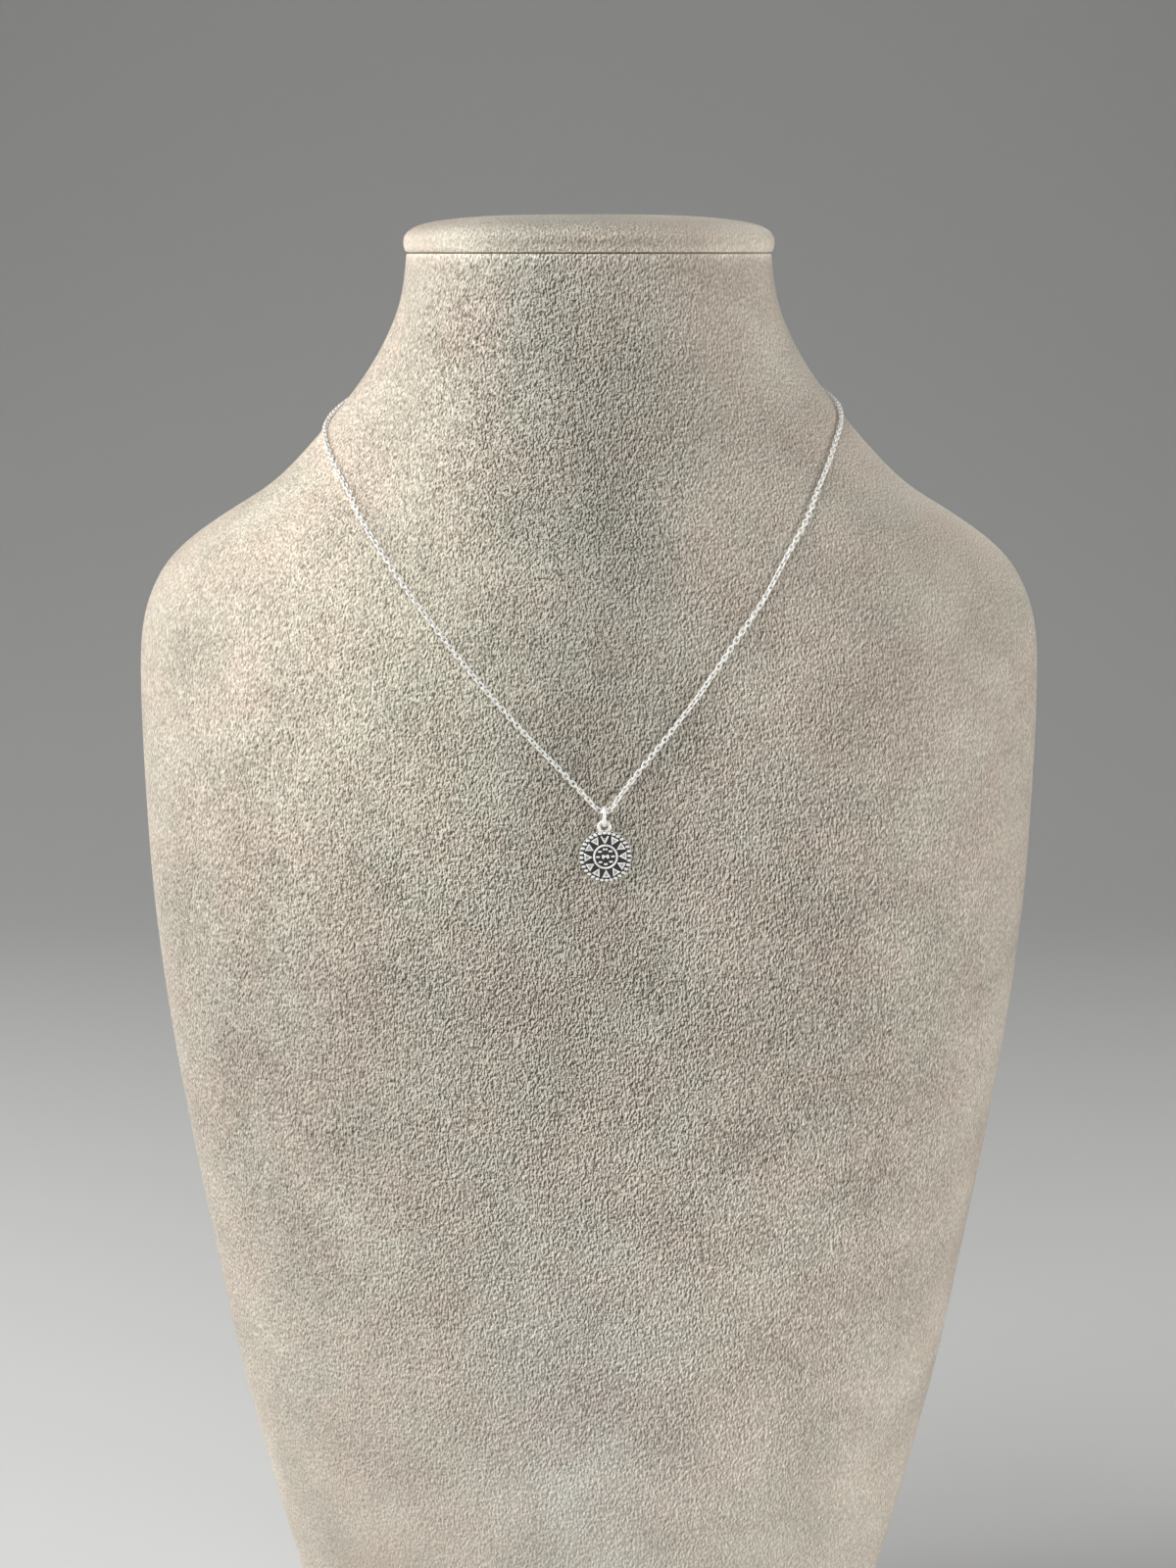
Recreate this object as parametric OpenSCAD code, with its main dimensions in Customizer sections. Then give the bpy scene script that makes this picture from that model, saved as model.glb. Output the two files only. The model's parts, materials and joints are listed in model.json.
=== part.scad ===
// Disc pendant on a fine cable chain, hung on a velvet neck bust.
// Millimetres. +Z is up, the bust faces -Y, and the origin is the middle of its base on the table.

/* [Bust] */
// Height of the bust up to the seam under its cap
body_h = 355; // [300:5:420]
// Width of the bust across the shoulders
body_w = 210; // [180:5:240]
// How far the chest stands forward of the origin at its fullest
chest_d = 54.5; // [48:0.5:64]
// How far the back stands behind the origin at its fullest
back_d = 46; // [40:1:56]
// Rounding of the edges at the base and under the cap
edge_r = 1.2; // [0.5:0.1:2]

/* [Cap] */
// Height of the padded cap at its crown
cap_h = 9; // [6:0.5:14]
// How far the cap stands out past the top of the neck
cap_over = 0.9; // [0.2:0.1:2]
// Joint line between the cap and the neck
seam = 0.3; // [0.2:0.05:0.6]

/* [Chain] */
// Outer diameter of the cable chain
chain_d = 1.2; // [0.9:0.1:1.8]
// Clear space between the chain and the velvet
chain_gap = 0.3; // [0.25:0.05:0.8]

/* [Clasp] */
// Outer diameter of the spring ring
clasp_d = 5.5; // [5:0.5:8]
// Wire of the spring ring
clasp_wire = 1.1; // [0.8:0.1:1.5]
// Inner diameter of the small eye on the spring ring
eye_hole = 1.3; // [1.1:0.1:2]
// Wire of the small eye
eye_wire = 0.55; // [0.4:0.05:0.8]

/* [Jump ring] */
// Wire of the jump ring that carries the pendant
ring_wire = 0.75; // [0.5:0.05:1]
// Play between the jump ring and what passes through it
ring_play = 0.15; // [0.1:0.05:0.3]
// Spare length inside the jump ring between the chain and the loop
ring_free = 0.7; // [0.3:0.05:1]

/* [Pendant] */
// Diameter of the disc
disc_d = 11.5; // [10:0.5:16]
// Thickness of the disc without its relief
disc_t = 0.85; // [0.6:0.05:1.2]
// Height of the raised ornament over the dark field
relief_h = 0.35; // [0.2:0.05:0.5]
// Width of the fine raised lines
line_w = 0.33; // [0.25:0.01:0.4]
// Inner diameter of the loop on top of the disc
loop_hole = 1.6; // [1.5:0.1:2.6]
// Wire of the loop
loop_wire = 0.8; // [0.5:0.05:1]
// Play of the loop on the jump ring
loop_play = 0.08; // [0.05:0.01:0.15]
// Lean of the hanging pendant to one side, in degrees
lean = 2.5; // [0:0.5:5]
// Triangles in the sun's crown of rays
rays = 12; // [8:1:14]
// Small beads round the border
beads = 32; // [28:1:40]
// Clear space between the hanging pendant and the chest
hang_gap = 0.3; // [0.2:0.05:0.6]

/* [Hidden] */
$fn = 48;
// How fine the bust and the chain are made: points round a section, height of a ring, steps of the route
sides = 48;
ring_step = 8;
chain_sides = 8;
chain_steps = 2;
// Small step that finds the skin's slope, in degrees and millimetres
probe = 0.5;
// How far each edge ring lies from its edge and from the skin, as a share of edge_r
bevel = 0.3;

// Bust sections: share of body_h, share of half body_w, share of chest_d, share of back_d
BUST = [
    [0.000, 0.575, 0.66, 0.87], [0.100, 0.661, 0.75, 0.89], [0.180, 0.732, 0.83, 0.92],
    [0.260, 0.798, 0.89, 0.94], [0.340, 0.850, 0.94, 0.96], [0.420, 0.900, 0.98, 0.98],
    [0.500, 0.944, 1.00, 1.00], [0.580, 0.976, 0.99, 1.00], [0.660, 0.993, 0.95, 1.00],
    [0.720, 1.000, 0.90, 1.00], [0.750, 0.998, 0.86, 1.00], [0.770, 0.987, 0.83, 0.99],
    [0.790, 0.960, 0.80, 0.98], [0.805, 0.924, 0.77, 0.97], [0.820, 0.865, 0.74, 0.96],
    [0.835, 0.788, 0.71, 0.95], [0.850, 0.708, 0.67, 0.94], [0.870, 0.638, 0.63, 0.93],
    [0.900, 0.551, 0.58, 0.91], [0.930, 0.478, 0.54, 0.90], [0.960, 0.428, 0.51, 0.89],
    [0.980, 0.411, 0.495, 0.89], [1.000, 0.404, 0.485, 0.89]];

// Cap profile: share of cap_h, share of the cap's reach
CAP = [
    [0.00, 0.975], [0.10, 0.990], [0.30, 1.000], [0.42, 0.996], [0.52, 0.985], [0.63, 0.957],
    [0.72, 0.920], [0.80, 0.857], [0.85, 0.793], [0.89, 0.720], [0.93, 0.640], [0.965, 0.520],
    [0.985, 0.400], [0.997, 0.200]];

// How square the sections are in front and behind, as superellipse powers
FRONT_POWER = 2.2;
BACK_POWER = 2.6;

// Ornament of the disc, as shares of its radius: the ring's middle and width, then the rays
BAND = [0.443, 0.07];
RAY_TIP = 0.5;
RAY_BASE = 0.815;
RAY_HALF = 0.175;
// Beads of the border, all lying level: how far out, length and width
BEAD = [0.92, 0.155, 0.09];
// Dashes inside the ring: how many, how far out, length and width
DASHES = 8;
DASH_R = 0.29;
DASH = [0.155, 0.08];
// Bow in the middle: radius of each lobe, and its distance from the middle
BOW = [0.08, 0.09];

// Place of the clasp behind the neck, and of the lowest link in front: bearing, drop below body_h
CLASP_AT = [90, 25];
DROP_AT = [273.9, 122.4];

// Route of the chain from behind the neck past the left side: bearing, drop below body_h, lift
ROUTE_LEFT = [
    [105, 25.5, 0], [120, 26.5, 0], [135, 28, 0], [150, 30.5, 0], [165, 33.5, 0],
    [178, 37, 0], [190, 41, 0], [197, 44.5, 0], [204, 49.5, 0], [211, 56, 0], [218, 64, 0],
    [225, 73.3, 0], [232, 82.3, 0], [240, 91.7, 0], [248, 100, 0], [256, 107.5, 0],
    [263, 113.6, 0], [269, 118.8, 0.4], [272, 121.6, 0.95]];
// The same route from the drop past the right side and back to the clasp
ROUTE_RIGHT = [
    [275.7, 121.6, 0.95], [278.5, 118.2, 0.4], [284, 112.3, 0], [291, 104.7, 0], [298, 96.4, 0],
    [305, 87, 0], [312, 77.2, 0], [319, 66.2, 0], [326, 57, 0], [333, 49.1, 0],
    [340, 42.7, 0], [348, 38.3, 0], [357, 35, 0], [370, 32.5, 0], [385, 30, 0],
    [400, 27.5, 0], [415, 26, 0], [430, 25, 0]];

function last(list) = len(list) - 1;
function unit(v) = v / norm(v);

// Place of a value in a rising table, and the smooth curve through one column of it
function span_at(table, x) = max([for (i = [0 : last(table) - 1]) if (table[i][0] <= x || i == 0) i]);
function slope(table, i, col) =
    let (a = max(i - 1, 0), b = min(i + 1, last(table)))
    (table[b][col] - table[a][col]) / (table[b][0] - table[a][0]);
function blend(a, b, da, db, t) =
    (2 * pow(t, 3) - 3 * pow(t, 2) + 1) * a + (pow(t, 3) - 2 * pow(t, 2) + t) * da
    + (3 * pow(t, 2) - 2 * pow(t, 3)) * b + (pow(t, 3) - pow(t, 2)) * db;
function smooth(table, x, col) =
    let (i = span_at(table, x), w = table[i + 1][0] - table[i][0])
    blend(table[i][col], table[i + 1][col], slope(table, i, col) * w, slope(table, i + 1, col) * w,
        (x - table[i][0]) / w);

// Half width, front and back of the bust at a height
function bust_at(z) =
    let (s = min(max(z / body_h, 0), 1))
    [smooth(BUST, s, 1) * body_w / 2, smooth(BUST, s, 2) * chest_d, smooth(BUST, s, 3) * back_d];

// Reach of an oval with half width a and half depth b, on a bearing from its middle
function oval(a, b, bearing) =
    let (n = sin(bearing) < 0 ? FRONT_POWER : BACK_POWER)
    pow(pow(abs(cos(bearing)) / a, n) + pow(abs(sin(bearing)) / b, n), -1 / n);

// Point of the bust's skin on a bearing at a height, drawn in by an inset
function skin(bearing, z, inset = 0) =
    let (s = bust_at(z), b = (s[1] + s[2]) / 2, r = oval(s[0] - inset, b - inset, bearing))
    [r * cos(bearing), (s[2] - s[1]) / 2 + r * sin(bearing), z];

// Bearing that spreads the points of a section evenly along its outline
function spread(section, share, inset = 0) =
    atan2(((section[1] + section[2]) / 2 - inset) * sin(360 * share),
        (section[0] - inset) * cos(360 * share));

function outward(bearing, z) = unit(cross(
    skin(bearing + probe, z) - skin(bearing - probe, z),
    skin(bearing, z + probe) - skin(bearing, z - probe)));
function over(bearing, z, off) = skin(bearing, z) + outward(bearing, z) * off;

// Jump ring and pendant: the ring's upper bend holds the chain, its lower bend the loop
ring_r = max(chain_d, loop_wire) / 2 + ring_play;
ring_out = ring_r + ring_wire;
ring_span = (chain_d + loop_wire) / 2 + ring_free;
pivot_drop = ring_span + ring_r + ring_wire / 2;
loop_drop = pivot_drop + loop_hole / 2 - ring_wire / 2 - loop_play;
disc_r = disc_d / 2;
disc_drop = loop_drop + loop_hole / 2 + disc_r + loop_play;
pendant_t = disc_t + relief_h;
drop_z = body_h - DROP_AT[1];
drop_skin = skin(DROP_AT[0], drop_z);
foot_skin = skin(DROP_AT[0], drop_z - disc_drop - disc_r);
drop_y = min(drop_skin[1] - ring_out, foot_skin[1] - pendant_t / 2) - hang_gap;
chain_off = chain_d / 2 + chain_gap;
drop_lift = max((drop_y - drop_skin[1]) / outward(DROP_AT[0], drop_z)[1] - chain_off, 0);
drop = over(DROP_AT[0], drop_z, chain_off + drop_lift);

// Clasp: how far the spring ring and its eye reach to either side of its middle
clasp_off = max(clasp_wire, eye_wire) / 2 + chain_gap;
eye_r = eye_hole / 2 + eye_wire;
eye_at = clasp_d / 2 + eye_r - eye_wire;
clasp_z = body_h - CLASP_AT[1];
clasp_section = bust_at(clasp_z);
function beside(reach) = atan2(reach + chain_gap, (clasp_section[1] + clasp_section[2]) / 2);

// Whole route, from the clasp's eye round to the spring ring: bearing, drop below body_h, lift
route = concat(
    [[CLASP_AT[0] + beside(eye_at + eye_r), CLASP_AT[1], 0]], ROUTE_LEFT,
    [[DROP_AT[0], DROP_AT[1], 1]], ROUTE_RIGHT,
    [[CLASP_AT[0] + 360 - beside(clasp_d / 2), CLASP_AT[1], 0]]);
function route_at(i, col) = smooth([for (k = [0 : last(route)])
    [k, route[k][0], route[k][1], route[k][2]]], i, col);
stations = [for (k = [0 : last(route) * chain_steps]) k / chain_steps];
chain_path = [for (k = stations) over(route_at(k, 1), body_h - route_at(k, 2),
    chain_off + drop_lift * route_at(k, 3))];
chain_faces_out = [for (k = stations) outward(route_at(k, 1), body_h - route_at(k, 2))];

// Closed skin over equal rings of points, with a flat fan of one face at each end
module loft(rings) {
    n = len(rings[0]);
    top = last(rings) * n;
    polyhedron(
        points = [for (ring = rings) for (p = ring) p],
        faces = concat(
            [[for (i = [0 : n - 1]) i]],
            [for (k = [0 : last(rings) - 1]) for (i = [0 : n - 1])
                [k * n + i, (k + 1) * n + i, (k + 1) * n + (i + 1) % n, k * n + (i + 1) % n]],
            [[for (i = [n - 1 : -1 : 0]) top + i]]),
        convexity = 6);
}

// Sweep of a round section along a path, square to it
module tube(path, normals, r, n) {
    rings = [for (k = [0 : last(path)])
        let (ahead = unit(path[min(k + 1, last(path))] - path[max(k - 1, 0)]),
            across = unit(cross(ahead, normals[k])), up = cross(across, ahead))
        [for (i = [0 : n - 1]) path[k] + r * (cos(360 * i / n) * across + sin(360 * i / n) * up)]];
    loft(rings);
}

// Heights of the bust's rings: every table row, with the long spans between them divided
bust_levels = concat(
    [for (i = [0 : last(BUST) - 1])
        let (low = BUST[i][0] * body_h, high = BUST[i + 1][0] * body_h, n = ceil((high - low) / ring_step))
        for (k = [0 : n - 1]) low + (high - low) * k / n],
    [body_h]);

function bust_ring(z, inset = 0) =
    [for (i = [0 : sides - 1]) skin(spread(bust_at(z), i / sides, inset), z, inset)];

module bust_body() {
    soft = bevel * edge_r;
    inner = [for (z = bust_levels) if (z > 2 * edge_r && z < body_h - 2 * edge_r) z];
    rings = concat(
        [bust_ring(0, edge_r), bust_ring(soft, soft), bust_ring(edge_r)],
        [for (z = inner) bust_ring(z)],
        [bust_ring(body_h - edge_r), bust_ring(body_h - soft, soft), bust_ring(body_h, edge_r)]);
    color("tan") loft(rings);
}

module bust_cap() {
    neck = bust_at(body_h);
    middle = (neck[2] - neck[1]) / 2;
    a = neck[0] + cap_over;
    b = (neck[1] + neck[2]) / 2 + cap_over;
    rings = [for (row = CAP) [for (i = [0 : sides - 1])
        let (bearing = atan2(b * sin(360 * i / sides), a * cos(360 * i / sides)),
            r = row[1] * oval(a, b, bearing))
        [r * cos(bearing), middle + r * sin(bearing), body_h + seam + row[0] * cap_h]]];
    color("tan") loft(rings);
}

module chain() {
    color("silver") tube(chain_path, chain_faces_out, chain_d / 2, chain_sides);
}

module wire_ring(hole, wire) {
    rotate_extrude() translate([hole / 2 + wire / 2, 0]) circle(d = wire);
}

module clasp() {
    out = outward(CLASP_AT[0], clasp_z);
    color("silver")
        translate(over(CLASP_AT[0], clasp_z, clasp_off))
        rotate([acos(out[2]), 0, 180]) mirror([1, 0, 0]) {
            wire_ring(clasp_d - 2 * clasp_wire, clasp_wire);
            translate([-eye_at, 0, 0]) wire_ring(eye_hole, eye_wire);
        }
}

// Oblong ring with two round bends, standing square to the chain
module jump_ring() {
    r = ring_r + ring_wire / 2;
    color("silver")
        translate(drop)
        rotate([90, 0, 90]) {
            rotate_extrude(angle = 180) translate([r, 0]) circle(d = ring_wire);
            translate([0, -ring_span, 0]) rotate([0, 0, 180])
                rotate_extrude(angle = 180) translate([r, 0]) circle(d = ring_wire);
            for (side = [-1, 1])
                translate([side * r, -ring_span, 0]) rotate([-90, 0, 0])
                    cylinder(d = ring_wire, h = ring_span);
        }
}

module dash(length, width) {
    for (side = [-1, 1]) translate([side * (length - width) / 2, 0]) circle(d = width);
    square([length - width, width], center = true);
}

// Level dashes on a circle, their places and sizes in shares of the disc's radius
module dashes_round(n, r, length, width) {
    for (i = [0 : n - 1])
        translate(r * disc_r * [cos(360 * i / n), sin(360 * i / n)]) dash(length * disc_r, width * disc_r);
}

// Hollow triangle with its tip to the middle of the disc and a dot inside
module ray() {
    tip = RAY_TIP * disc_r;
    base = RAY_BASE * disc_r;
    half = RAY_HALF * disc_r;
    high = base - tip;
    inside_r = half * high / (half + norm([half, high]));
    middle = base - inside_r;
    corners = [[tip, 0], [base, -half], [base, half]];
    difference() {
        polygon(corners);
        polygon([for (c = corners) [middle, 0] + (c - [middle, 0]) * (1 - line_w / inside_r)]);
    }
    translate([middle, 0]) circle(r = (inside_r - line_w) / 2);
}

module ornament() {
    difference() {
        circle(r = (BAND[0] + BAND[1] / 2) * disc_r);
        circle(r = (BAND[0] - BAND[1] / 2) * disc_r);
    }
    for (i = [0 : rays - 1]) rotate(90 + 360 * i / rays) ray();
    dashes_round(beads, BEAD[0], BEAD[1], BEAD[2]);
    dashes_round(DASHES, DASH_R, DASH[0], DASH[1]);
    for (side = [-1, 1]) translate([side * BOW[1] * disc_r, 0]) circle(r = BOW[0] * disc_r);
    square([2 * BOW[1] * disc_r, BOW[0] * disc_r], center = true);
}

module disc_pendant() {
    color("silver")
        translate(drop - [0, 0, pivot_drop]) rotate([0, -lean, 0])
        translate([0, 0, pivot_drop - disc_drop]) rotate([90, 0, 0]) {
            translate([0, 0, -pendant_t / 2]) cylinder(r = disc_r, h = disc_t);
            translate([0, 0, pendant_t / 2 - relief_h]) linear_extrude(relief_h) ornament();
            translate([0, disc_drop - loop_drop, 0]) wire_ring(loop_hole, loop_wire);
        }
}

bust_body();
bust_cap();
chain();
clasp();
jump_ring();
disc_pendant();
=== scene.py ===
"""A disc pendant on a fine cable chain, worn by a velvet neck bust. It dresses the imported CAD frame."""

import json
import math
from contextlib import contextmanager

import bmesh
import bpy
import numpy as np
from bpy.props import FloatProperty, FloatVectorProperty, IntProperty, PointerProperty
from mathutils import Matrix, Vector


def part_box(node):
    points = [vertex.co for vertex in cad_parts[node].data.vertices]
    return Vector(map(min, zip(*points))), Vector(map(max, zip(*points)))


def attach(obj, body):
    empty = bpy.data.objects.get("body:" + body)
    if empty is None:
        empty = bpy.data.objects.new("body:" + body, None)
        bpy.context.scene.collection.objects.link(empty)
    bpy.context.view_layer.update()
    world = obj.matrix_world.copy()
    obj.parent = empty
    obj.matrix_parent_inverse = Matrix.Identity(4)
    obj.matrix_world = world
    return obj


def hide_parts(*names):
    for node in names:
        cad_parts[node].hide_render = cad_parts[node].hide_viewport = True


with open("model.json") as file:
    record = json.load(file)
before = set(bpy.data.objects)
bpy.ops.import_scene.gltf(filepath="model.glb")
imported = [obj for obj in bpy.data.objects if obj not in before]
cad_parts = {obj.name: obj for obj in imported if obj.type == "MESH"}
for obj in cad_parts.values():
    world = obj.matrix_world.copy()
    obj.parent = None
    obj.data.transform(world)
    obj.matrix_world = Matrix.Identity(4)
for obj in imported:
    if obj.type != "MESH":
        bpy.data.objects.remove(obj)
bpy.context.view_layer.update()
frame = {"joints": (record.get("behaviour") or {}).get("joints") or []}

bl_info = {
    "name": "Velvet bust with disc pendant",
    "version": (1, 0, 0),
    "blender": (4, 5, 0),
    "location": "3D View > Sidebar > Pendant",
    "description": "Models a disc pendant on a cable chain, hung on a velvet neck bust",
    "category": "Add Mesh",
}

MM = 0.001
JOINTS = {joint["name"]: joint for joint in frame["joints"]}

# Bust sections in shares of its height, half width, chest depth and back depth
BUST = [
    (0.000, 0.575, 0.66, 0.87), (0.100, 0.661, 0.75, 0.89), (0.180, 0.732, 0.83, 0.92),
    (0.260, 0.798, 0.89, 0.94), (0.340, 0.850, 0.94, 0.96), (0.420, 0.900, 0.98, 0.98),
    (0.500, 0.944, 1.00, 1.00), (0.580, 0.976, 0.99, 1.00), (0.660, 0.993, 0.95, 1.00),
    (0.720, 1.000, 0.90, 1.00), (0.750, 0.998, 0.86, 1.00), (0.770, 0.987, 0.83, 0.99),
    (0.790, 0.960, 0.80, 0.98), (0.805, 0.924, 0.77, 0.97), (0.820, 0.865, 0.74, 0.96),
    (0.835, 0.788, 0.71, 0.95), (0.850, 0.708, 0.67, 0.94), (0.870, 0.638, 0.63, 0.93),
    (0.900, 0.551, 0.58, 0.91), (0.930, 0.478, 0.54, 0.90), (0.960, 0.428, 0.51, 0.89),
    (0.980, 0.411, 0.495, 0.89), (1.000, 0.404, 0.485, 0.89)]
# Cap profile: share of its height, share of its reach
CAP = [
    (0.00, 0.975), (0.04, 0.986), (0.12, 0.995), (0.30, 1.000), (0.42, 0.996), (0.52, 0.985),
    (0.63, 0.957), (0.72, 0.920), (0.80, 0.857), (0.85, 0.793), (0.89, 0.720), (0.93, 0.640),
    (0.965, 0.520), (0.985, 0.400), (0.997, 0.200)]
# Powers of the rounded oval outline, in front and behind
FRONT_POWER = 2.2
BACK_POWER = 2.6
# How far in and up the middle of a rounded edge lies, in shares of the rounding
ARC = 0.3

# Route of the chain: degrees round the bust, millimetres below the seam, share of the lift at the ring
CLASP_AT = (90, 25)
DROP_AT = (273.9, 122.4)
ROUTE_LEFT = [
    (105, 25.5, 0), (120, 26.5, 0), (135, 28, 0), (150, 30.5, 0), (165, 33.5, 0),
    (178, 37, 0), (190, 41, 0), (197, 44.5, 0), (204, 49.5, 0), (211, 56, 0), (218, 64, 0),
    (225, 73.3, 0), (232, 82.3, 0), (240, 91.7, 0), (248, 100, 0), (256, 107.5, 0),
    (263, 113.6, 0), (269, 118.8, 0.4), (272, 121.6, 0.95)]
ROUTE_RIGHT = [
    (275.7, 121.6, 0.95), (278.5, 118.2, 0.4), (284, 112.3, 0), (291, 104.7, 0), (298, 96.4, 0),
    (305, 87, 0), (312, 77.2, 0), (319, 66.2, 0), (326, 57, 0), (333, 49.1, 0),
    (340, 42.7, 0), (348, 38.3, 0), (357, 35, 0), (370, 32.5, 0), (385, 30, 0),
    (400, 27.5, 0), (415, 26, 0), (430, 25, 0)]

# Ornament of the disc in shares of its radius: how far out a mark lies, then its length and width
BEAD = (0.925, 0.165, 0.12)
DASH = (0.29, 0.155, 0.08)
BOW = (0.09, 0.17, 0.105)
KNOT = (0.015, 0.19, 0.07)
# Plain ring: how far out, width. Two round lobes of the top dash: how far from its middle, diameter
BAND = (0.443, 0.08)
LOBES = (0.05, 0.092)
# Triangles: how far out their tips and bases lie, breadth, height of their bars, the dot inside
RAY = (0.5, 0.815)
RAY_BREADTH = 0.96
RAY_FLAT = 0.62
DOT = 0.05
# Arms of the open triangle at the top: how far out, how far aside, length, slant in degrees
ARM = (0.67, 0.068, 0.31, 27)

# Pile of the velvet: flecks to a millimetre, their upright stretch, and the shift of a second copy of the
# flecks; their difference paints each fleck lit on one side and shaded on the other
PILE_SCALE = 2.0
PILE_UPRIGHT = (1.0, 1.0, 0.6)
PAINTED_RELIEF_SHIFT = (0.2, 0.0, -0.1)
# Soft clouds in the velvet's colour, to a millimetre
CLOUD_SCALE = 0.055
# Where the pile stands up, on the chest and the neck: in millimetres the middle and how far it reaches
ROUGH = [((-8, -60, 200), (105, 400, 165)), ((-6, -50, 330), (34, 400, 68))]
# Patches with the tint of each: painted light on the left breast, painted shade over the middle, painted
# light over the foot and a cooler tint above it, a cool patch, a pale band of painted light at the seam,
# the painted highlight of a lit edge in it and the painted shade of the crease over that
PAINTED_LIGHT_AND_TINTS = [
    ((-63, -50, 283), (66, 400, 98), (1.5, 1.47, 1.43)),
    ((1, -50, 298), (32, 400, 140), (0.72, 0.75, 0.75)),
    ((-2, -50, 40), (140, 400, 140), (1.38, 1.4, 1.43)),
    ((-3, -50, 90), (30, 400, 70), (0.93, 0.96, 1.0)),
    ((-36, -50, 255), (40, 400, 60), (0.94, 0.98, 0.97)),
    ((0, -50, 357), (200, 400, 5), (1.5, 1.5, 1.5)),
    ((0, -50, 355), (150, 400, 1), (1.35, 1.35, 1.35)),
    ((0, -50, 357.6), (45, 400, 1.7), (0.68, 0.67, 0.65))]

# Soft square lights: degrees right of the camera, degrees up, distance, width and watts
LIGHTS = {
    "key_left": (-85, 15, 1.3, 0.8, 11.7), "top_left": (-60, 55, 1.3, 0.8, 11.8),
    "fill_right": (90, 15, 1.3, 0.8, 7.1), "low_right": (50, -10, 1.3, 0.3, 13.6),
    "by_camera": (-12, 32, 1.0, 0.5, 1.2)}
LIT_POINT = Vector((0, 0, 0.2))
# Camera: place, degrees down, focal length and height of the frame in its pixels
CAMERA_AT = (0, -0.8, 0.355)
CAMERA_DOWN = 8.82
FOCAL_LENGTH = 3488
FRAME_HEIGHT = 1600


def size(text, default):
    """A length in metres that a user may change."""
    return FloatProperty(name=text, description=text, default=default, unit="LENGTH", precision=5)


def count(text, default):
    return IntProperty(name=text, description=text, default=default, min=3)


def colour(text, default):
    return FloatVectorProperty(name=text, description=text, default=default, subtype="COLOR",
                               size=3, min=0, max=1)


def span(node):
    low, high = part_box(node)
    return high - low


class BustSizes(bpy.types.PropertyGroup):
    height: size("Height of the bust up to the seam under its cap", span("bust_body").z)
    width: size("Width across the shoulders", 0.210)
    chest: size("Depth of the chest in front of the origin", 0.0545)
    back: size("Depth of the back behind the origin", 0.046)
    nap: size("Height of the velvet's nap over the hard body", 0.00015)
    edge: size("Rounding of the edge at the base", 0.0012)
    rim: size("Rounding of the edge under the cap", 0.0002)
    seam: size("Joint line between the cap and the neck", 0.00003)
    cap_height: size("Height of the cap at its crown", span("bust_cap").z / CAP[-1][0])
    cap_over: size("How far the cap stands out past the neck", 0.0009)
    sides: count("Points round each section", 96)
    ring_step: size("Height of a ring of faces", 0.0045)


class ChainSizes(bpy.types.PropertyGroup):
    pitch: size("Distance from link to link", 0.00119)
    wire: size("Wire of a link", 0.00041)
    width: size("Width of a link", 0.00132)
    lift: size("Height of the chain's middle over the hard body", 0.00074)
    seat: size("How far the chain rises inside the jump ring", 0.00025)
    twist_left: count("Half turns that the left arm is twisted by", 5)
    twist_right: count("Half turns that the right arm is twisted by", 3)
    twist_reach: size("Length beside the ring over which the links turn by an eighth", 0.0035)
    clasp: size("Outer diameter of the spring ring", 0.0055)
    clasp_wire: size("Wire of the spring ring", 0.0011)
    eye: size("Inner diameter of its small eye", 0.0013)
    eye_wire: size("Wire of the eye", 0.00055)
    end_wire: size("Wire of the end link at the spring ring", 0.00038)
    clasp_lift: size("Height of the clasp's middle over the hard body", 0.00085)


class PendantSizes(bpy.types.PropertyGroup):
    disc: size("Diameter of the disc", 0.0115)
    plate: size("Thickness of the disc without its relief", 0.00085)
    relief: size("Height of the raised ornament", 0.00035)
    line: size("Width of the fine raised lines", 0.0004)
    soft: size("Softening of the disc's edges", 0.00013)
    loop_hole: size("Inner diameter of the loop", 0.0016)
    loop_wire: size("Wire of the loop", 0.0008)
    loop_rise: size("Clear space from the rim to the loop's hole", 0.00008)
    ring_wire: size("Wire of the jump ring", span("jump_ring").x)
    rays: count("Triangles round the middle", 12)
    beads: count("Beads round the border", 32)
    dashes: count("Dashes inside the ring", 8)


class Finishes(bpy.types.PropertyGroup):
    velvet_tip: colour("Lit tips of the velvet", (0.92, 0.86, 0.75))
    velvet_mid: colour("Body of the velvet", (0.46, 0.408, 0.345))
    velvet_root: colour("Shaded depths of the velvet", (0.075, 0.072, 0.06))
    velvet_rosy: colour("Tint of its warmer patches", (1.0, 0.97, 0.96))
    velvet_cool: colour("Tint of its cooler patches", (0.98, 1.0, 0.99))
    silver: colour("Polished silver", (0.97, 0.96, 0.925))
    oxide: colour("Blackened silver in the recesses", (0.02, 0.017, 0.019))
    # Tarnish in the disc's blackened field; inside the wire rings it is tarnish and painted shade
    tarnish_and_shade: colour("Tarnished silver", (0.09, 0.083, 0.085))
    paper: colour("Pale paper of the studio", (0.72, 0.72, 0.71))


PROPERTY_GROUPS = {
    "pendant_bust": BustSizes, "pendant_chain": ChainSizes,
    "pendant_disc": PendantSizes, "pendant_finish": Finishes}


# Shape of the bust and the route of the chain

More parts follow.
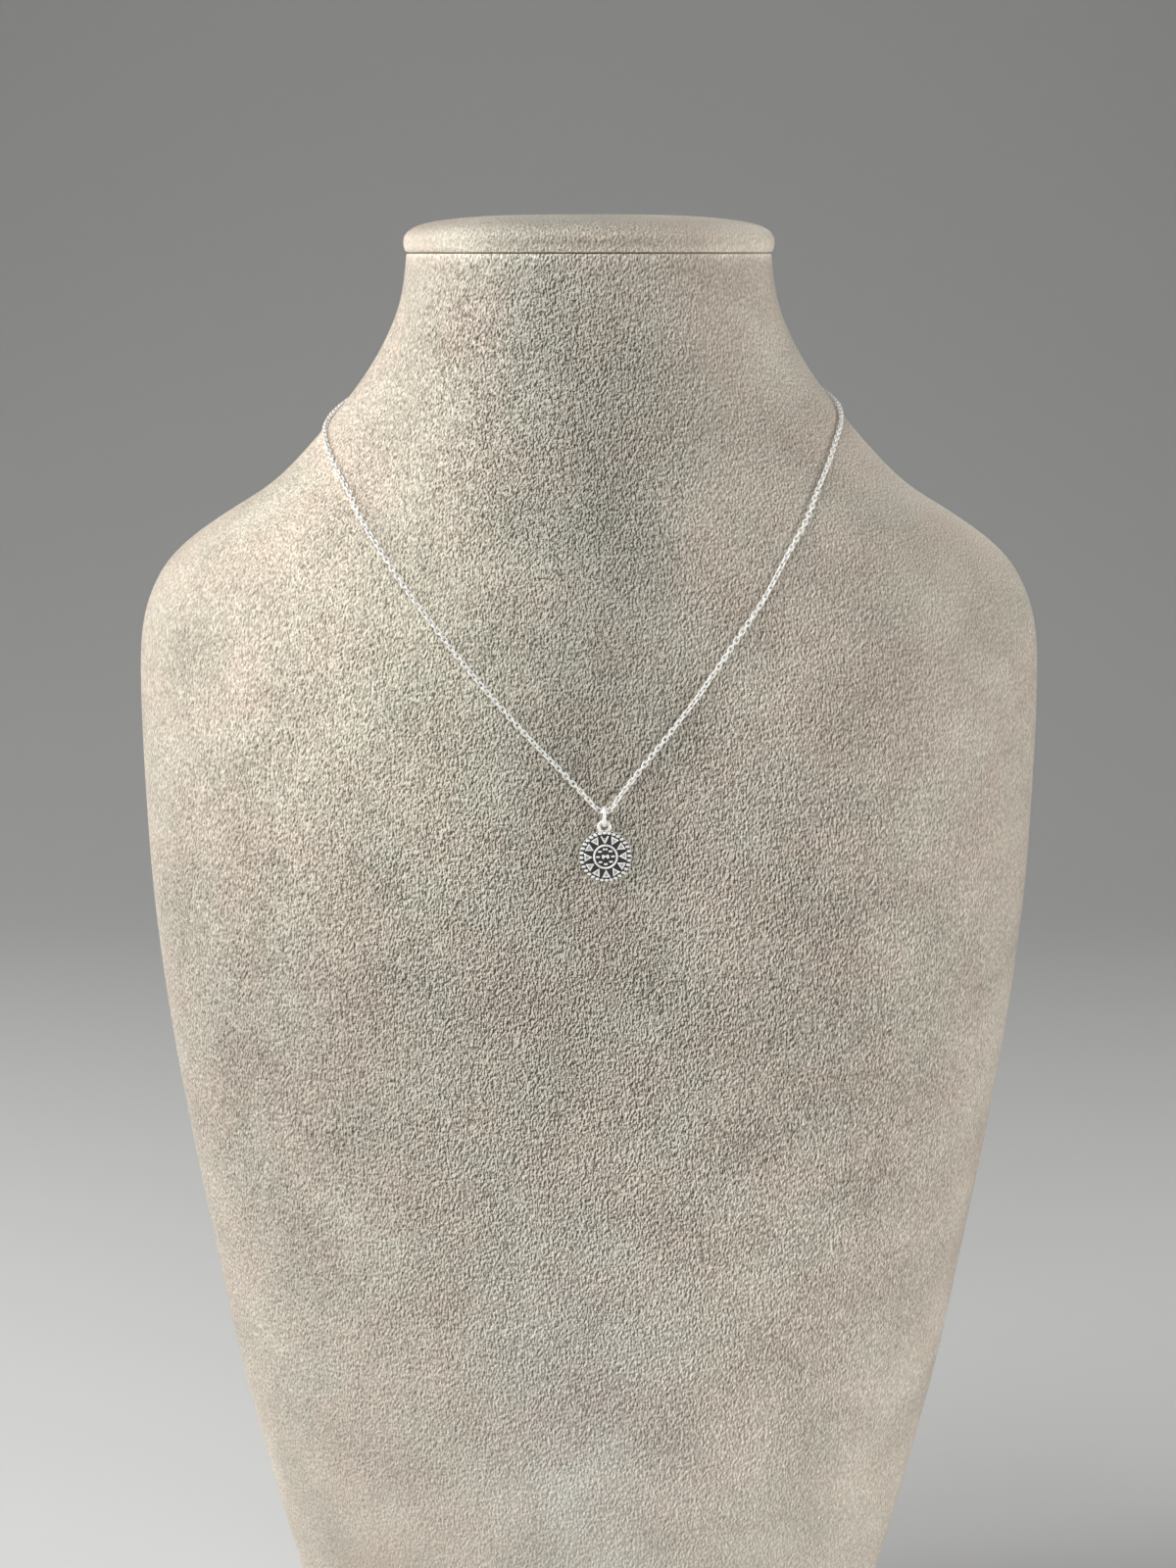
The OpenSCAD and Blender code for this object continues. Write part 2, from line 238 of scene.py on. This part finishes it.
def smooth(table, x):
    """Every column of a rising table at x, on one smooth curve through its rows."""
    rows = np.array(table, float)
    at, values = rows[:, 0], rows[:, 1:]
    index, last = np.arange(len(rows)), len(rows) - 1
    low, high = np.clip(index - 1, 0, last), np.clip(index + 1, 0, last)
    slope = (values[high] - values[low]) / (at[high] - at[low])[:, None]
    x = np.atleast_1d(np.asarray(x, float))
    i = np.clip(np.searchsorted(at, x, side="right") - 1, 0, last - 1)
    step = (at[i + 1] - at[i])[:, None]
    t = (x - at[i])[:, None] / step
    return ((2 * t**3 - 3 * t**2 + 1) * values[i] + (t**3 - 2 * t**2 + t) * slope[i] * step
            + (3 * t**2 - 2 * t**3) * values[i + 1] + (t**3 - t**2) * slope[i + 1] * step)


def section(z):
    """Half width, half depth and middle of the bust at some heights."""
    bust = bpy.context.scene.pendant_bust
    shares = smooth(BUST, np.clip(np.asarray(z) / bust.height, 0, 1))
    front, back = shares[:, 1] * bust.chest, shares[:, 2] * bust.back
    return shares[:, 0] * bust.width / 2, (front + back) / 2, (back - front) / 2


def reach(angle, half_width=1.0, half_depth=1.0):
    """Distance from the middle to the rounded oval outline, at an angle."""
    power = np.where(np.sin(angle) < 0, FRONT_POWER, BACK_POWER)
    return ((np.abs(np.cos(angle)) / half_width) ** power
            + (np.abs(np.sin(angle)) / half_depth) ** power) ** (-1 / power)


def skin(bearing, z):
    """Points of the bust's skin at some bearings, in degrees, and heights."""
    half_width, half_depth, mid = section(z)
    angle = np.radians(bearing)
    r = reach(angle, half_width, half_depth)
    return np.stack([r * np.cos(angle), mid + r * np.sin(angle), np.asarray(z)], axis=-1)


def outward(bearing, z, probe=0.5):
    """Direction away from the skin, from points on it half a degree and half a millimetre off."""
    normal = np.cross(skin(bearing + probe, z) - skin(bearing - probe, z),
                      skin(bearing, z + probe * MM) - skin(bearing, z - probe * MM))
    return normal / np.linalg.norm(normal, axis=-1, keepdims=True)


def on_skin(place):
    """Point and outward direction of the skin at one place of the route."""
    bearing = np.array([place[0]], float)
    z = np.array([bpy.context.scene.pendant_bust.height - place[1] * MM])
    return Vector(skin(bearing, z)[0]), Vector(outward(bearing, z)[0])


def chain_line():
    """Centreline from the clasp's eye round the front to the spring ring.

    With it come the skin's normals, the length travelled and the length up to the jump ring.
    """
    bust, chain = bpy.context.scene.pendant_bust, bpy.context.scene.pendant_chain
    foot, normal = on_skin(DROP_AT)
    lift = (Vector(JOINTS["ring_swing"]["pos_m"]) - foot).dot(normal) - chain.lift
    half_depth = section([bust.height - CLASP_AT[1] * MM])[1][0]
    eye_far = chain.clasp / 2 + chain.eye
    end_far = chain.clasp / 2 - chain.clasp_wire + end_link_length(chain)
    turns = [math.degrees(math.atan2(far + chain.pitch / 2 - chain.wire / 2, half_depth))
             for far in (eye_far, end_far)]
    route = ([(CLASP_AT[0] + turns[0], CLASP_AT[1], 0)] + ROUTE_LEFT + [(*DROP_AT, 1)] + ROUTE_RIGHT
             + [(CLASP_AT[0] + 360 - turns[1], CLASP_AT[1], 0)])
    share = np.linspace(0, len(route) - 1, 6000)
    marks = smooth([(k, *row) for k, row in enumerate(route)], share)
    bearing, z = marks[:, 0], bust.height - marks[:, 1] * MM
    normals = outward(bearing, z)
    line = skin(bearing, z) + normals * (chain.lift + lift * marks[:, 2])[:, None]
    travel = np.concatenate([[0], np.cumsum(np.linalg.norm(np.diff(line, axis=0), axis=1))])
    at_drop = np.interp(len(ROUTE_LEFT) + 1, share, travel)
    line[:, 2] += chain.seat * np.exp(-((travel - at_drop) / (2 * chain.pitch)) ** 2)
    return line, normals, travel, at_drop


def end_link_length(chain):
    """Inner length of the end link, which holds the spring ring's wire."""
    return 2 * chain.clasp_wire


# Modelling steps

def activate(obj):
    bpy.ops.object.select_all(action="DESELECT")
    obj.select_set(True)
    bpy.context.view_layer.objects.active = obj


@contextmanager
def editing(obj):
    """Edit mode on one object, with nothing selected."""
    activate(obj)
    bpy.ops.object.mode_set(mode="EDIT")
    bpy.ops.mesh.select_all(action="DESELECT")
    yield
    bpy.ops.object.mode_set(mode="OBJECT")


def pick(obj, kind, test):
    """Selects the verts, edges or faces that pass a test, in edit mode."""
    bpy.ops.mesh.select_all(action="DESELECT")
    bpy.context.tool_settings.mesh_select_mode = [kind == k for k in ("verts", "edges", "faces")]
    mesh = bmesh.from_edit_mesh(obj.data)
    for item in getattr(mesh, kind):
        item.select_set(bool(test(item)))
    mesh.select_flush_mode()
    bmesh.update_edit_mesh(obj.data)


def part_halves(obj, axis, offset):
    """Moves the half of a mesh beyond the middle of an axis by an offset, and the other half back."""
    tiny = 1e-7
    for side in (1, -1):
        pick(obj, "verts", lambda v: v.co[axis] * side > tiny)
        bpy.ops.transform.translate(value=[side * offset * (axis == k) for k in range(3)])


def modify(obj, kind, **settings):
    """Adds a modifier with these settings and applies it."""
    activate(obj)
    modifier = obj.modifiers.new(kind.title(), kind)
    for key, value in settings.items():
        setattr(modifier, key, value)
    bpy.ops.object.modifier_apply(modifier=modifier.name)


def settle(obj):
    """Puts the object's place, turn and scale into its mesh, so that it sits at the origin."""
    activate(obj)
    bpy.ops.object.transform_apply(location=True, rotation=True, scale=True)


def put(obj, matrix):
    obj.matrix_world = matrix
    settle(obj)
    return obj


def added(primitive, name, **settings):
    """A new mesh primitive, settled at the origin."""
    bpy.ops.object.select_all(action="DESELECT")
    getattr(bpy.ops.mesh, f"primitive_{primitive}_add")(**settings)
    obj = bpy.context.object
    obj.name = name
    settle(obj)
    return obj


def joined(objects, name):
    activate(objects[0])
    for obj in objects:
        obj.select_set(True)
    bpy.ops.object.join()
    obj = bpy.context.object
    obj.name = obj.data.name = name
    settle(obj)
    return obj


def copies(model, places):
    """A copy of the model, with its own mesh, at each place; the model goes."""
    made = []
    for place in places:
        copy = model.copy()
        copy.data = model.data.copy()
        copy.matrix_world = place
        bpy.context.scene.collection.objects.link(copy)
        made.append(copy)
    bpy.data.objects.remove(model)
    return made


def wire_ring(name, wire, width, length, around, sides):
    """Closed ring of round wire with two straight sides, lying flat with its length along X.

    Its attribute hollow runs from 0 on the outside to 1 on the inside.
    """
    ring = added("torus", name, major_segments=around, minor_segments=sides,
                 major_radius=(width - wire) / 2, minor_radius=wire / 2)
    hollow = ring.data.attributes.new("hollow", "FLOAT", "POINT")
    for vertex, mark in zip(ring.data.vertices, hollow.data):
        mark.value = 0.5 + ((width - wire) / 2 - math.hypot(vertex.co.x, vertex.co.y)) / wire
    with editing(ring):
        part_halves(ring, 0, (length - width) / 2)
    return ring


def raised(name, sides, rings):
    """Closed body whose oval sections rise ring by ring: height, half width, half depth, middle."""
    low, *rest = rings
    body = added("circle", name, vertices=sides, radius=1, fill_type="NGON")
    for v in body.data.vertices:
        angle = math.atan2(v.co.y, v.co.x)
        r = float(reach(np.array(angle)))
        v.co = (r * math.cos(angle) * low[1], r * math.sin(angle) * low[2] + low[3], low[0])
    with editing(body):
        pick(body, "faces", lambda f: True)
        for (z0, a0, b0, m0), (z1, a1, b1, m1) in zip(rings, rest):
            bpy.ops.mesh.extrude_region_move(TRANSFORM_OT_translate={"value": (0, m1 - m0, z1 - z0)})
            bpy.ops.transform.resize(value=(a1 / a0, b1 / b0, 1), center_override=(0, m1, z1))
        bpy.ops.mesh.select_all(action="SELECT")
        bpy.ops.mesh.normals_make_consistent(inside=False)
    return body


def dressed(obj, finish, body, slot, *nodes):
    """Last steps of every piece: finish, smooth faces, the body it rides on and what it stands for."""
    obj.data.materials.clear()
    obj.data.materials.append(finish)
    activate(obj)
    bpy.ops.object.shade_smooth()
    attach(obj, body)
    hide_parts(*nodes)
    return obj


# Finishes

class Value:
    """A node's output, with which plain arithmetic adds the maths nodes."""

    def __init__(self, finish, socket):
        self.finish, self.socket = finish, socket

    def maths(self, operation, *inputs):
        return self.finish.node("Math", {"operation": operation}, dict(enumerate(inputs)))

    def __add__(self, other):
        return self.maths("ADD", self, other)

    def __sub__(self, other):
        return self.maths("SUBTRACT", self, other)

    def __rsub__(self, other):
        return self.maths("SUBTRACT", other, self)

    def __mul__(self, other):
        return self.maths("MULTIPLY", self, other)

    def __truediv__(self, other):
        return self.maths("DIVIDE", self, other)

    def __pow__(self, other):
        return self.maths("POWER", self, other)

    def __lt__(self, other):
        return self.maths("LESS_THAN", self, other)

    __radd__, __rmul__ = __add__, __mul__


class Finish:
    """One material in the making."""

    def __init__(self, name):
        self.material = bpy.data.materials.new(name)
        self.material.use_nodes = True
        self.tree = self.material.node_tree
        self.tree.nodes.clear()

    def node(self, kind, settings, inputs, out=0):
        """Adds a node of a type with its settings, its inputs set or linked, and gives an output."""
        node = self.tree.nodes.new("ShaderNode" + kind)
        for key, value in settings.items():
            if key == "stops":
                elements = node.color_ramp.elements
                while len(elements) < len(value):
                    elements.new(1)
                for element, (at, shade) in zip(elements, value):
                    element.position, element.color = at, (*shade, 1)
            else:
                setattr(node, key, value)
        for key, value in inputs.items():
            if isinstance(value, Value):
                self.tree.links.new(value.socket, node.inputs[key])
            else:
                node.inputs[key].default_value = value
        return Value(self, node.outputs[out])

    def spot(self):
        """Object coordinates in millimetres."""
        place = self.node("TexCoord", {}, {}, "Object")
        return self.node("VectorMath", {"operation": "SCALE"}, {0: place, "Scale": 1 / MM})

    def noise(self, vector, scale, detail, out="Fac", **more):
        inputs = {"Vector": vector, "Scale": scale, "Detail": detail, **more}
        return self.node("TexNoise", {}, inputs, out)

    def round_spot(self, spot, middle, far):
        """1 at a middle, fading evenly to 0 at the far sides of an oval."""
        apart = self.node("VectorMath", {"operation": "SUBTRACT"}, {0: spot, 1: middle})
        share = self.node("VectorMath", {"operation": "DIVIDE"}, {0: apart, 1: far})
        return self.node("TexGradient", {"gradient_type": "SPHERICAL"}, {"Vector": share}, "Fac")

    def ramp(self, value, stops):
        """Colours along a value: each stop is a place and a colour."""
        return self.node("ValToRGB", {"stops": stops}, {0: value})

    def mix(self, factor, a, b, blend="MIX"):
        a, b = (c if isinstance(c, Value) else (*c, 1) for c in (a, b))
        return self.node("Mix", {"data_type": "RGBA", "blend_type": blend}, {0: factor, 6: a, 7: b}, 2)

    def bump(self, height, strength, distance):
        inputs = {"Height": height, "Strength": strength, "Distance": distance}
        return self.node("Bump", {}, inputs, "Normal")

    def done(self, **inputs):
        """Ends in a Principled shader; an input's name has _ for each space."""
        surface = self.node("BsdfPrincipled", {}, {k.replace("_", " "): v for k, v in inputs.items()})
        output = self.tree.nodes.new("ShaderNodeOutputMaterial")
        self.tree.links.new(surface.socket, output.inputs["Surface"])
        return self.material


def velvet(name, least, most):
    """Short brushed pile: upright flecks with painted lit tips and painted shade at their roots, each lit
    on one side and shaded on the other, under wide soft patches of painted light, painted shade and tint.

    The flecks' contrast runs from least, where the pile lies flat, to most.
    """
    look = bpy.context.scene.pendant_finish
    made = Finish(name)
    spot = made.spot()
    wide, high = (made.round_spot(spot, *mark) for mark in ROUGH)
    rough = wide + high * 0.8
    roots = made.node("VectorMath", {"operation": "MULTIPLY"}, {0: spot, 1: PILE_UPRIGHT})
    # A second copy of the flecks, shifted aside, for the painted light and shade on each fleck
    tips = made.node("VectorMath", {"operation": "ADD"}, {0: roots, 1: PAINTED_RELIEF_SHIFT})
    coarse = rough * 0.5 + 0.3
    pile, shifted_pile = (made.noise(at, PILE_SCALE, 1.0, Roughness=coarse) for at in (roots, tips))
    # Painted light and shade: each fleck lighter on one side and darker on the other, as if lit from one
    # side
    lean = pile - shifted_pile
    cloud = made.noise(spot, CLOUD_SCALE, 2.0, "Color")
    patch, hue = (made.node("SeparateColor", {}, {0: cloud}, channel) for channel in ("Red", "Green"))
    tone = (lean + (pile - 0.5) * 0.6) * (rough * (most - least) + least) + (patch - 0.5) * 0.3 + 0.5
    # The pile's colour from its painted shade at the roots, through its body colour, to its painted lit
    # tips
    shade = made.ramp(tone, [(0.0, look.velvet_root), (0.5, look.velvet_mid), (1.0, look.velvet_tip)])
    tint = made.ramp(hue, [(0.4, look.velvet_rosy), (0.6, look.velvet_cool)])
    shade = made.mix(1.0, shade, tint, "MULTIPLY")
    # Lays the patches of painted light, painted shade and tint over the velvet's colour
    for middle, far, tint in PAINTED_LIGHT_AND_TINTS:
        tinted = made.mix(1.0, shade, tint, "MULTIPLY")
        shade = made.mix(made.round_spot(spot, middle, far), shade, tinted)
    return made.done(
        Base_Color=shade, Roughness=0.9, Normal=made.bump(pile, rough * 0.4 + 0.4, 0.0009),
        Sheen_Weight=0.45, Sheen_Roughness=0.35, Sheen_Tint=(1.0, 0.95, 0.85, 1),
        Specular_IOR_Level=0.0)


def silver(name, roughness, metal=0.3):
    """Bright drawn silver with faint wear, darkened inside its rings by tarnish and painted shade."""
    look = bpy.context.scene.pendant_finish
    made = Finish(name)
    wear = made.noise(made.spot(), 2.2, 2.0)
    # Inside each ring the colour turns to tarnish and painted shade, where the ring shades itself
    hollow = made.node("Attribute", {"attribute_name": "hollow"}, {}, "Fac")
    return made.done(
        Base_Color=made.ramp(hollow, [(0.72, look.silver), (0.98, look.tarnish_and_shade)]), Metallic=metal,
        Roughness=wear * 0.2 + (roughness - 0.1), Normal=made.bump(wear, 0.1, 0.00004))


def oxidised(name, centre, radius, field_y, top_y):
    """Cast silver, bright where it is raised and blackened over the sunken field.

    The field and the top of the relief face -Y, at field_y and top_y.
    """
    look = bpy.context.scene.pendant_finish
    made = Finish(name)
    place = made.node("TexCoord", {}, {}, "Object")
    x, y, z = (made.node("SeparateXYZ", {}, {0: place}, axis) for axis in "XYZ")
    grain = made.noise(made.spot(), 3.0, 2.0)
    rise = (field_y - y) / (field_y - top_y) + (grain - 0.5) * 0.3
    lit = made.ramp(rise, [(0.12, (0, 0, 0)), (0.5, (1, 1, 1))])
    from_middle = ((x - centre.x) ** 2 + (z - centre.z) ** 2) ** 0.5
    dark = (from_middle < radius * 0.995) * (y < field_y + 0.00006) * (1 - lit)
    black = made.mix(grain, look.oxide, look.tarnish_and_shade)
    return made.done(
        Base_Color=made.mix(dark, look.silver, black), Metallic=0.3,
        Roughness=dark * 0.2 + 0.3 + (grain - 0.5) * 0.15, Normal=made.bump(grain, 0.3, 0.00006))


# Pieces

class PENDANT_OT_bust(bpy.types.Operator):
    """Models the velvet neck bust and its padded cap"""
    bl_idname = "pendant.bust"
    bl_label = "Velvet bust"

    def execute(self, context):
        bust = context.scene.pendant_bust
        edge, rim = bust.edge, bust.rim
        marks = [(0, edge), (ARC * edge, ARC * edge), (edge, 0)]
        for (low, *_), (high, *_) in zip(BUST, BUST[1:]):
            steps = math.ceil((high - low) * bust.height / bust.ring_step)
            levels = [(low + (high - low) * k / steps) * bust.height for k in range(steps)]
            marks += [(z, 0) for z in levels if 2 * edge < z < bust.height - 2 * edge]
        marks += [(bust.height - rim, 0), (bust.height - ARC * rim, ARC * rim), (bust.height, rim)]
        sections = zip(marks, *section([z for z, _ in marks]))
        body = raised("velvet_bust", bust.sides,
                      [(z, a - inset + bust.nap, b - inset + bust.nap, m)
                       for (z, inset), a, b, m in sections])
        modify(body, "SUBSURF", levels=1, render_levels=1)
        dressed(body, velvet("velvet_body", 0.5, 3.1), "bust", "velvet_body", "bust_body")

        (a,), (b,), (m,) = section([bust.height])
        base = bust.height + bust.seam
        cap = raised("velvet_cap", bust.sides,
                     [(base + high * bust.cap_height, share * (a + bust.cap_over),
                       share * (b + bust.cap_over), m) for high, share in CAP])
        modify(cap, "SUBSURF", levels=1, render_levels=1)
        dressed(cap, velvet("velvet_cap", 0.35, 2.0), "bust", "velvet_cap", "bust_cap")
        return {"FINISHED"}


class PENDANT_OT_chain(bpy.types.Operator):
    """Models every link of the cable chain, interlocked, from clasp to clasp"""
    bl_idname = "pendant.chain"
    bl_label = "Cable chain"

    def execute(self, context):
        chain = context.scene.pendant_chain
        line, normals, travel, at_drop = chain_line()
        total = travel[-1]
        left = 2 * round(at_drop / chain.pitch / 2)
        right = 2 * round((total - at_drop) / chain.pitch / 2 - 0.5) + 1
        stations = [at_drop * k / left for k in range(left)]
        stations += [at_drop + (total - at_drop) * k / right for k in range(right + 1)]

        def along(path, s):
            return Vector([np.interp(s, travel, path[:, i]) for i in range(3)])

        places = []
        for k, s in enumerate(stations):
            ahead = (along(line, s + 0.1 * MM) - along(line, s - 0.1 * MM)).normalized()
            across = along(normals, s).cross(ahead).normalized()
            turned = Matrix((ahead, across, ahead.cross(across))).transposed().to_4x4()
            steady = (chain.twist_left * (left - k) / left if k < left
                      else chain.twist_right * (k - left) / right)
            early = 0.25 - 0.25 * math.exp(-abs(s - at_drop) / chain.twist_reach)
            roll = math.pi * (steady + early) + math.pi / 2 * (k - left + 1)
            places.append(Matrix.Translation(along(line, s)) @ turned @ Matrix.Rotation(roll, 4, "X"))
        model = wire_ring("link", chain.wire, chain.width, chain.pitch + 2 * chain.wire, 12, 6)
        links = joined(copies(model, places), "cable_chain")
        dressed(links, silver("silver_chain", 0.3, 0.12), "bust", "silver_chain", "chain")
        return {"FINISHED"}


class PENDANT_OT_clasp(bpy.types.Operator):
    """Models the closed spring ring behind the neck and the end link it holds"""
    bl_idname = "pendant.clasp"
    bl_label = "Spring ring"

    def execute(self, context):
        chain = context.scene.pendant_chain
        foot, out = on_skin(CLASP_AT)
        lies = Matrix.Rotation(-math.acos(out.z), 4, "X")
        place = Matrix.Translation(foot + out * chain.clasp_lift) @ lies
        ring = wire_ring("spring_ring", chain.clasp_wire, chain.clasp, chain.clasp, 56, 16)
        eye_width = chain.eye + 2 * chain.eye_wire
        eye = wire_ring("eye", chain.eye_wire, eye_width, eye_width, 28, 10)
        put(eye, Matrix.Translation((-(chain.clasp + chain.eye) / 2, 0, 0)))
        length = end_link_length(chain) + 2 * chain.end_wire
        end = wire_ring("end_link", chain.end_wire, length * 0.8, length, 24, 8)
        edgewise = Matrix.Rotation(math.pi / 2, 4, "X")
        inner = chain.clasp / 2 - chain.clasp_wire
        put(end, Matrix.Translation((inner - chain.end_wire + length / 2, 0, 0)) @ edgewise)
        clasp = put(joined([ring, eye, end], "spring_clasp"), place)
        dressed(clasp, silver("silver_clasp", 0.25), "bust", "silver_clasp", "clasp")
        return {"FINISHED"}


class PENDANT_OT_jump_ring(bpy.types.Operator):
    """Models the oblong jump ring that the pendant hangs from"""
    bl_idname = "pendant.jump_ring"
    bl_label = "Jump ring"

    def execute(self, context):
        low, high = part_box("jump_ring")
        ring = wire_ring("oblong_ring", context.scene.pendant_disc.ring_wire, high.y - low.y,
                         high.z - low.z, 48, 14)
        put(ring, Matrix.Translation((low + high) / 2) @ Matrix.Rotation(math.pi / 2, 4, "Y"))
        dressed(ring, silver("silver_ring", 0.25), "ring", "silver_ring", "jump_ring")
        return {"FINISHED"}


class PENDANT_OT_disc(bpy.types.Operator):
    """Models the cast disc, its loop and its raised sun"""
    bl_idname = "pendant.disc"
    bl_label = "Disc pendant"

    def execute(self, context):
        disc = context.scene.pendant_disc
        radius, field = disc.disc / 2, disc.plate / 2
        level = field + disc.relief
        parts = []

        plate = added("cylinder", "plate", vertices=120, radius=radius, depth=disc.plate)
        with editing(plate):
            pick(plate, "edges", lambda e: any(len(f.verts) > 4 for f in e.link_faces))
            bpy.ops.mesh.bevel(offset=disc.soft, segments=3, affect="EDGES")
            pick(plate, "faces", lambda f: len(f.verts) > 4)
            bpy.ops.mesh.inset(thickness=disc.soft)
            bpy.ops.mesh.inset(thickness=radius / 2)
        parts.append(plate)

        def pill(length, width, x, y, turn=0.0, top=level):
            """Rounded bead that rises to the relief's level, in shares of the disc's radius."""
            r = width * radius / 2
            bead = added("uv_sphere", "bead", segments=16, ring_count=10, radius=r)
            with editing(bead):
                part_halves(bead, 0, (length - width) * radius / 2)
            spot = Matrix.Translation((x * radius, y * radius, top - r))
            parts.append(put(bead, spot @ Matrix.Rotation(turn, 4, "Z")))

        def round_about(total):
            return [(math.cos(a), math.sin(a)) for a in np.arange(total) * 2 * math.pi / total]

        for x, y in round_about(disc.beads):
            pill(BEAD[1], BEAD[2], BEAD[0] * x, BEAD[0] * y)
        parts.append(added("torus", "band", major_segments=72, minor_segments=12,
                           major_radius=BAND[0] * radius, minor_radius=BAND[1] * radius / 2,
                           location=(0, 0, level - BAND[1] * radius / 2)))
        for k, (x, y) in enumerate(round_about(disc.dashes)):
            if 4 * k != disc.dashes:
                pill(DASH[1], DASH[2], DASH[0] * x, DASH[0] * y)
        for side in (-1, 1):
            pill(LOBES[1], LOBES[1], side * LOBES[0], DASH[0])
            pill(BOW[1], BOW[2], side * BOW[0], 0, math.pi / 2)
            slant = math.radians(90 - side * ARM[3])
            pill(ARM[2], disc.line / radius, side * ARM[1], ARM[0], slant)
        pill(KNOT[1], KNOT[2], 0, KNOT[0])

        corner = (RAY[1] - RAY[0]) * radius * 2 / 3
        middle = RAY[1] * radius - corner / 2
        model = added("torus", "ray", major_segments=3, minor_segments=8,
                      major_radius=corner - disc.line, minor_radius=disc.line)
        lies = Matrix.Translation((middle, 0, level - disc.line * RAY_FLAT))
        shape = Matrix.Diagonal((1, RAY_BREADTH, RAY_FLAT, 1))
        shaped = lies @ Matrix.Rotation(math.pi, 4, "Z") @ shape
        quarter = disc.rays / 4
        turns = [k * 2 * math.pi / disc.rays for k in range(disc.rays) if k != quarter]
        parts += copies(model, [Matrix.Rotation(turn, 4, "Z") @ shaped for turn in turns])
        for x, y in round_about(disc.rays):
            pill(DOT, DOT, x * middle / radius, y * middle / radius, 0, level - disc.relief / 3)

        loop_width = disc.loop_hole + 2 * disc.loop_wire
        loop = wire_ring("loop", disc.loop_wire, loop_width, loop_width, 56, 16)
        rise = radius + disc.loop_rise + disc.loop_hole / 2
        parts.append(put(loop, Matrix.Translation((0, rise, disc.relief / 2))))

        low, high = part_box("disc_pendant")
        centre = Vector(((low.x + high.x) / 2, (low.y + high.y) / 2, low.z + radius))
        pivot = Vector(JOINTS["pendant_swing"]["pos_m"])
        lean = math.atan2(centre.x - pivot.x, pivot.z - centre.z)
        upright = Matrix.Rotation(-lean, 4, "Y") @ Matrix.Rotation(math.pi / 2, 4, "X")
        hung = Matrix.Translation(centre) @ upright @ Matrix.Translation((0, 0, -disc.relief / 2))
        charm = put(joined(parts, "sun_disc"), hung)
        top_y = centre.y - (disc.plate + disc.relief) / 2
        finish = oxidised("oxidised_silver", centre, radius, top_y + disc.relief, top_y)
        dressed(charm, finish, "pendant", "oxidised_silver", "disc_pendant")
        return {"FINISHED"}


class PENDANT_OT_stage(bpy.types.Operator):
    """Sets up the pale paper sweep, the soft lights and the camera"""
    bl_idname = "pendant.stage"
    bl_label = "Studio"

    def execute(self, context):
        scene = context.scene
        sweep = added("plane", "studio_sweep", size=4, location=(0, 0.4, 0))
        with editing(sweep):
            pick(sweep, "edges", lambda e: all(v.co.y > 2 for v in e.verts))
            bpy.ops.mesh.extrude_region_move(TRANSFORM_OT_translate={"value": (0, 0, 3)})
            pick(sweep, "edges", lambda e: all(v.co.y > 2 and v.co.z < MM for v in e.verts))
            bpy.ops.mesh.bevel(offset=1.4, segments=24, affect="EDGES")
        activate(sweep)
        bpy.ops.object.shade_smooth()
        paper = Finish("studio_paper")
        fibre = paper.noise(paper.spot(), 0.4, 1.0)
        sweep.data.materials.append(paper.done(
            Base_Color=(*scene.pendant_finish.paper, 1), Roughness=fibre * 0.1 + 0.85,
            Specular_IOR_Level=0.0))

        for name, (bearing, rise, away, width, power) in LIGHTS.items():
            turn, up = math.radians(bearing), math.radians(rise)
            toward = Vector((math.sin(turn) * math.cos(up), -math.cos(turn) * math.cos(up), math.sin(up)))
            bpy.ops.object.light_add(type="AREA", location=LIT_POINT + away * toward)
            lamp = context.object
            lamp.name = name
            lamp.data.size, lamp.data.energy = width, power
            lamp.rotation_euler = toward.to_track_quat("Z", "Y").to_euler()

        world = bpy.data.worlds.new("studio_air")
        scene.world = world
        world.use_nodes = True
        air = world.node_tree.nodes["Background"]
        air.inputs["Color"].default_value = (0.85, 0.86, 0.88, 1)
        air.inputs["Strength"].default_value = 0.03

        bpy.ops.object.camera_add(location=CAMERA_AT, rotation=(math.radians(90 - CAMERA_DOWN), 0, 0))
        scene.camera = context.object
        camera = scene.camera.data
        camera.lens = FOCAL_LENGTH / FRAME_HEIGHT * camera.sensor_width
        camera.shift_x = -1 / FRAME_HEIGHT
        camera.clip_start, camera.clip_end = 0.01, 20
        scene.view_settings.view_transform = "Standard"
        return {"FINISHED"}


OPERATORS = [PENDANT_OT_bust, PENDANT_OT_chain, PENDANT_OT_clasp, PENDANT_OT_jump_ring,
             PENDANT_OT_disc, PENDANT_OT_stage]


class PENDANT_PT_panel(bpy.types.Panel):
    bl_idname = "PENDANT_PT_panel"
    bl_label = "Disc pendant"
    bl_space_type = "VIEW_3D"
    bl_region_type = "UI"
    bl_category = "Pendant"

    def draw(self, context):
        for name, group in PROPERTY_GROUPS.items():
            box = self.layout.box()
            for key in group.__annotations__:
                box.prop(getattr(context.scene, name), key)
        for operator in OPERATORS:
            self.layout.operator(operator.bl_idname)


def register():
    for name, group in PROPERTY_GROUPS.items():
        bpy.utils.register_class(group)
        setattr(bpy.types.Scene, name, PointerProperty(type=group))
    for item in (*OPERATORS, PENDANT_PT_panel):
        bpy.utils.register_class(item)


def unregister():
    for item in (PENDANT_PT_panel, *reversed(OPERATORS)):
        bpy.utils.unregister_class(item)
    for name, group in PROPERTY_GROUPS.items():
        delattr(bpy.types.Scene, name)
        bpy.utils.unregister_class(group)


def main():
    register()
    for operator in OPERATORS:
        group, _, name = operator.bl_idname.partition(".")
        getattr(getattr(bpy.ops, group), name)()


if __name__ == "__main__":
    main()
